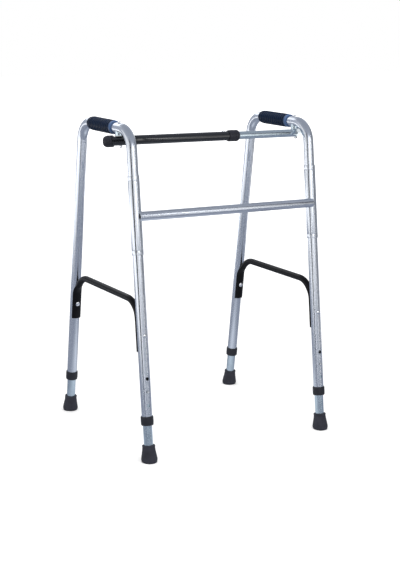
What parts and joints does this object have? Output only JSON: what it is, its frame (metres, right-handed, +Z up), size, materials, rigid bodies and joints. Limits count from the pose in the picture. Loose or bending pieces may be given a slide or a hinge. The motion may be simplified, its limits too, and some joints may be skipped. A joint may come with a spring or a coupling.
{
  "type": "folding walker",
  "caption": "Folding walking frame of bent aluminium tube: side frames swing on a front crossbar, held open by a telescoping bar with a sprung button, on height-adjustable rubber-tipped legs",
  "frame": {"origin": "on the floor, in the middle of the box that the open walker fills", "axes": "+Z is up, -Y is the front, where the crossbar is, and +X is the side of the zinc plated half of the telescoping bar, which is the right in the picture"},
  "size_m": [0.5737, 0.4778, 0.789],
  "materials": {
    "aluminium": "bright drawn and anodised, with long clear highlights",
    "zinc": "bluish zinc plating on steel tube",
    "steel": "bright nickel plated steel",
    "black_paint": "gloss black paint on steel tube",
    "satin_paint": "satin black powder coat on steel tube",
    "plastic": "moulded charcoal plastic, matte",
    "rubber": "moulded charcoal rubber, matte",
    "vinyl": "dark navy vinyl with fine ribs across it, low sheen"
  },
  "bodies": {
    "crossbar_body": {"crossbar": "aluminium", "left_sleeve": "aluminium", "right_sleeve": "aluminium"},
    "left_frame": {"left_frame_tube": "aluminium", "left_grip": "vinyl", "left_lower_ring": "aluminium", "left_upper_ring": "aluminium", "left_brace": "satin_paint", "left_pivot_saddle": "zinc", "left_front_brace_bolt": "steel", "left_front_brace_nut": "steel", "left_front_bush": "plastic", "left_rear_brace_bolt": "steel", "left_rear_brace_nut": "steel", "left_rear_bush": "plastic", "left_pivot_bolt": "steel"},
    "right_frame": {"right_frame_tube": "aluminium", "right_grip": "vinyl", "right_lower_ring": "aluminium", "right_upper_ring": "aluminium", "right_brace": "satin_paint", "right_pivot_saddle": "zinc", "right_front_brace_bolt": "steel", "right_front_brace_nut": "steel", "right_front_bush": "plastic", "right_rear_brace_bolt": "steel", "right_rear_brace_nut": "steel", "right_rear_bush": "plastic", "right_pivot_bolt": "steel", "right_pivot_nut": "steel"},
    "bar_inner": {"bar_inner_tube": "zinc", "bar_inner_cap": "plastic"},
    "bar_guide": {"bar_guide_plug": "plastic"},
    "bar_outer": {"bar_outer_tube": "black_paint", "bar_collar": "plastic", "bar_outer_cap": "plastic", "left_pivot_stud": "steel", "left_pivot_nut": "steel"},
    "bar_button": {"bar_clip": "steel"},
    "left_front_leg": {"left_front_inner_tube": "zinc", "left_front_foot": "rubber"},
    "left_front_button": {"left_front_clip": "steel"},
    "left_rear_leg": {"left_rear_inner_tube": "zinc", "left_rear_foot": "rubber"},
    "left_rear_button": {"left_rear_clip": "steel"},
    "right_front_leg": {"right_front_inner_tube": "zinc", "right_front_foot": "rubber"},
    "right_front_button": {"right_front_clip": "steel"},
    "right_rear_leg": {"right_rear_inner_tube": "zinc", "right_rear_foot": "rubber"},
    "right_rear_button": {"right_rear_clip": "steel"}
  },
  "joints": [
    {"name": "right_fold", "type": "hinge", "parent": "crossbar_body", "child": "right_frame", "pos_m": [0.25, -0.22, 0], "axis": [0, 0.1331, 0.9911], "range_deg": [0, 84]},
    {"name": "left_fold", "type": "hinge", "parent": "crossbar_body", "child": "left_frame", "pos_m": [-0.25, -0.22, 0], "axis": [0, -0.1331, -0.9911], "range_deg": [0, 68]},
    {"name": "bar_pivot_turn", "type": "hinge", "parent": "right_frame", "child": "bar_inner", "pos_m": [0.25, -0.065, 0.7434], "axis": [0, 0.1331, 0.9911], "range_deg": [-91, 0]},
    {"name": "bar_slide_right_share", "type": "slide", "parent": "bar_inner", "child": "bar_guide", "axis": [1, 0, 0], "range_m": [0, 0.052]},
    {"name": "bar_slide_left_share", "type": "slide", "parent": "bar_guide", "child": "bar_outer", "axis": [1, 0, 0], "range_m": [0, 0.0515]},
    {"name": "bar_button_press", "type": "slide", "parent": "bar_inner", "child": "bar_button", "axis": [0, -0.1331, -0.9911], "range_m": [0, 0.0045], "stiffness_N_per_m": 600, "springref_m": -0.003, "deforming": ["bar_clip"]},
    {"name": "left_front_leg_slide", "type": "slide", "parent": "left_frame", "child": "left_front_leg", "axis": [0, 0.1331, 0.9911], "range_m": [-0.032, 0.032]},
    {"name": "left_front_button_press", "type": "slide", "parent": "left_front_leg", "child": "left_front_button", "axis": [0, 0.9911, -0.1331], "range_m": [0, 0.0045], "stiffness_N_per_m": 600, "springref_m": -0.003, "deforming": ["left_front_clip"]},
    {"name": "left_rear_leg_slide", "type": "slide", "parent": "left_frame", "child": "left_rear_leg", "axis": [0, -0.108, 0.9942], "range_m": [-0.032, 0.032]},
    {"name": "left_rear_button_press", "type": "slide", "parent": "left_rear_leg", "child": "left_rear_button", "axis": [0, -0.9942, -0.108], "range_m": [0, 0.0045], "stiffness_N_per_m": 600, "springref_m": -0.003, "deforming": ["left_rear_clip"]},
    {"name": "right_front_leg_slide", "type": "slide", "parent": "right_frame", "child": "right_front_leg", "axis": [0, 0.1331, 0.9911], "range_m": [-0.032, 0.032]},
    {"name": "right_front_button_press", "type": "slide", "parent": "right_front_leg", "child": "right_front_button", "axis": [0, 0.9911, -0.1331], "range_m": [0, 0.0045], "stiffness_N_per_m": 600, "springref_m": -0.003, "deforming": ["right_front_clip"]},
    {"name": "right_rear_leg_slide", "type": "slide", "parent": "right_frame", "child": "right_rear_leg", "axis": [0, -0.108, 0.9942], "range_m": [-0.032, 0.032]},
    {"name": "right_rear_button_press", "type": "slide", "parent": "right_rear_leg", "child": "right_rear_button", "axis": [0, -0.9942, -0.108], "range_m": [0, 0.0045], "stiffness_N_per_m": 600, "springref_m": -0.003, "deforming": ["right_rear_clip"]}
  ],
  "couplings": [
    {"joint": "bar_pivot_turn", "follows": "right_fold", "ratio": -1.0746},
    {"joint": "bar_slide_right_share", "follows": "right_fold", "m_per_rad": 0.03525},
    {"joint": "bar_slide_left_share", "follows": "left_fold", "m_per_rad": 0.0431}
  ]
}
